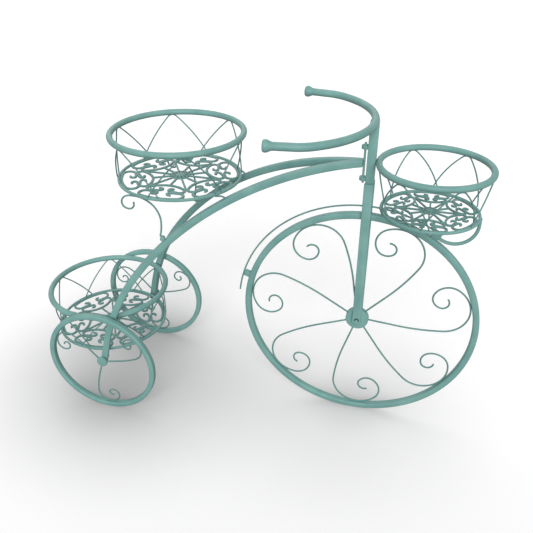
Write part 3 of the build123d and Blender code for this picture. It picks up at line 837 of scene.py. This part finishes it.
# Lengths are metres here
stageShape = {
    "floorReach": 16.0,
    "whiteness": 0.9,
    "lift": 0.31,
    "bounceColour": "#4c4c4c",
    "worldLight": 0.34,
}
white = (1, 1, 1, 1)
# Soft shade on the sheet: the middle of each pool, how far it reaches and how much it takes away
floorPools = [
    ((0.0, -0.25, 0.0), 1.60, 0.08),
    ((rearAxles["left"].x, -0.01, 0.0), 0.42, 0.36),
    ((frontAxle.x - 0.03, -0.01, 0.0), 0.36, 0.16),
    ((frontAxle.x, 0.01, 0.0), 0.12, 0.12),
    ((rearAxles["left"].x, rearAxles["left"].y, 0.0), 0.15, 0.12),
    ((rearAxles["right"].x, rearAxles["right"].y + 0.02, 0.0), 0.15, 0.10),
]
# Two soft suns: the side each shines from, its strength and how wide it is in degrees
studioLights = {
    "key": {"place": (0.27, -1.0, 0.52), "strength": 2.7, "width": 45.0},
    "back": {"place": (-0.6, 1.0, 0.9), "strength": 0.85, "width": 60.0},
}


# 1 for a ray from the camera, a gloss or a glass, which sees the plain pale studio
def seenRays(tree):
    path = addNode(tree, "ShaderNodeLightPath")
    seen = path.outputs["Is Camera Ray"]
    for ray in ("Is Glossy Ray", "Is Transmission Ray"):
        either = addNode(tree, "ShaderNodeMath", {"operation": "MAXIMUM"},
                         links={0: seen, 1: path.outputs[ray]})
        seen = either.outputs[0]
    return seen


# Matt paper, which the camera sees white with the planter's shadow and soft pools of shade. Other rays
# meet a duller ground, so that little light comes back up under the tubes
def floorMaterial():
    material = emptyMaterial("matt white studio sheet")
    tree = material.node_tree
    place = addNode(tree, "ShaderNodeTexCoord").outputs["Object"]
    pools = []
    for middle, reach, depth in floorPools:
        away = addNode(tree, "ShaderNodeVectorMath", {"operation": "DISTANCE"}, values={1: middle},
                       links={0: place})
        fade = addNode(tree, "ShaderNodeMapRange", {"interpolation_type": "SMOOTHSTEP"},
                       values={"From Max": reach, "To Min": depth, "To Max": 0.0},
                       links={"Value": away.outputs["Value"]})
        pools.append(fade.outputs["Result"])
    shade = pools[0]
    for pool in pools[1:]:
        shade = addNode(tree, "ShaderNodeMath", {"operation": "ADD"}, links={0: shade, 1: pool}).outputs[0]
    tone = addNode(tree, "ShaderNodeMath", {"operation": "SUBTRACT"}, values={0: stageShape["whiteness"]},
                   links={1: shade})
    grey = addNode(tree, "ShaderNodeCombineColor",
                   links={part: tone.outputs[0] for part in ("Red", "Green", "Blue")})
    paper = addNode(tree, "ShaderNodeBsdfDiffuse", links={"Color": grey.outputs["Color"]})
    glow = addNode(tree, "ShaderNodeEmission", values={"Strength": stageShape["lift"]},
                   links={"Color": grey.outputs["Color"]})
    sheet = addNode(tree, "ShaderNodeAddShader", links={0: paper.outputs[0], 1: glow.outputs[0]})
    dull = addNode(tree, "ShaderNodeBsdfDiffuse", values={"Color": linearColour(stageShape["bounceColour"])})
    mix = addNode(tree, "ShaderNodeMixShader",
                  links={0: seenRays(tree), 1: dull.outputs[0], 2: sheet.outputs[0]})
    addNode(tree, "ShaderNodeOutputMaterial", links={"Surface": mix.outputs[0]})
    return material


def makeFloor():
    bm = bmesh.new()
    bmesh.ops.create_grid(bm, x_segments=1, y_segments=1, size=stageShape["floorReach"])
    mesh = bpy.data.meshes.new("studio_floor")
    bm.to_mesh(mesh)
    bm.free()
    mesh.materials.append(floorMaterial())
    floor = bpy.data.objects.new("studio_floor", mesh)
    bpy.context.scene.collection.objects.link(floor)


def makeWorld():
    world = bpy.data.worlds.new("studio")
    world.use_nodes = True
    tree = world.node_tree
    tree.nodes.clear()
    soft = addNode(tree, "ShaderNodeBackground",
                   values={"Color": white, "Strength": stageShape["worldLight"]})
    plain = addNode(tree, "ShaderNodeBackground", values={"Color": white, "Strength": 1.0})
    mix = addNode(tree, "ShaderNodeMixShader",
                  links={0: seenRays(tree), 1: soft.outputs[0], 2: plain.outputs[0]})
    addNode(tree, "ShaderNodeOutputWorld", links={"Surface": mix.outputs[0]})
    bpy.context.scene.world = world


def makeLights():
    for name, light in studioLights.items():
        lamp = bpy.data.lights.new(name, "SUN")
        lamp.energy = light["strength"]
        lamp.angle = math.radians(light["width"])
        sun = bpy.data.objects.new(name, lamp)
        sun.rotation_euler = Vector(light["place"]).to_track_quat("Z", "Y").to_euler()
        bpy.context.scene.collection.objects.link(sun)


# The photograph's view: place in millimetres, angles in degrees, and what it sees from near to far
cameraShape = {
    "place": (292.9, -972.8, 898.9),
    "pitch": 30.8,
    "yaw": 15.04,
    "roll": 0.178,
    "lens": 42.73,
    "sensor": 36.0,
    "near": 50.0,
    "far": 100000.0,
}


def makeCamera():
    data = bpy.data.cameras.new("camera")
    data.lens = cameraShape["lens"]
    data.sensor_width = cameraShape["sensor"]
    data.clip_start = cameraShape["near"] * mm
    data.clip_end = cameraShape["far"] * mm
    data.dof.use_dof = False
    camera = bpy.data.objects.new("camera", data)
    camera.location = Vector(cameraShape["place"]) * mm
    turn = Matrix.Rotation(math.radians(cameraShape["yaw"]), 4, "Z")
    turn = turn @ Matrix.Rotation(math.radians(90 - cameraShape["pitch"]), 4, "X")
    turn = turn @ Matrix.Rotation(math.radians(cameraShape["roll"]), 4, "Z")
    camera.rotation_euler = turn.to_euler()
    bpy.context.scene.collection.objects.link(camera)
    bpy.context.scene.camera = camera


makeFloor()
makeWorld()
makeLights()
makeCamera()
bpy.context.scene.view_settings.view_transform = "Standard"
print("floor, light and camera made")
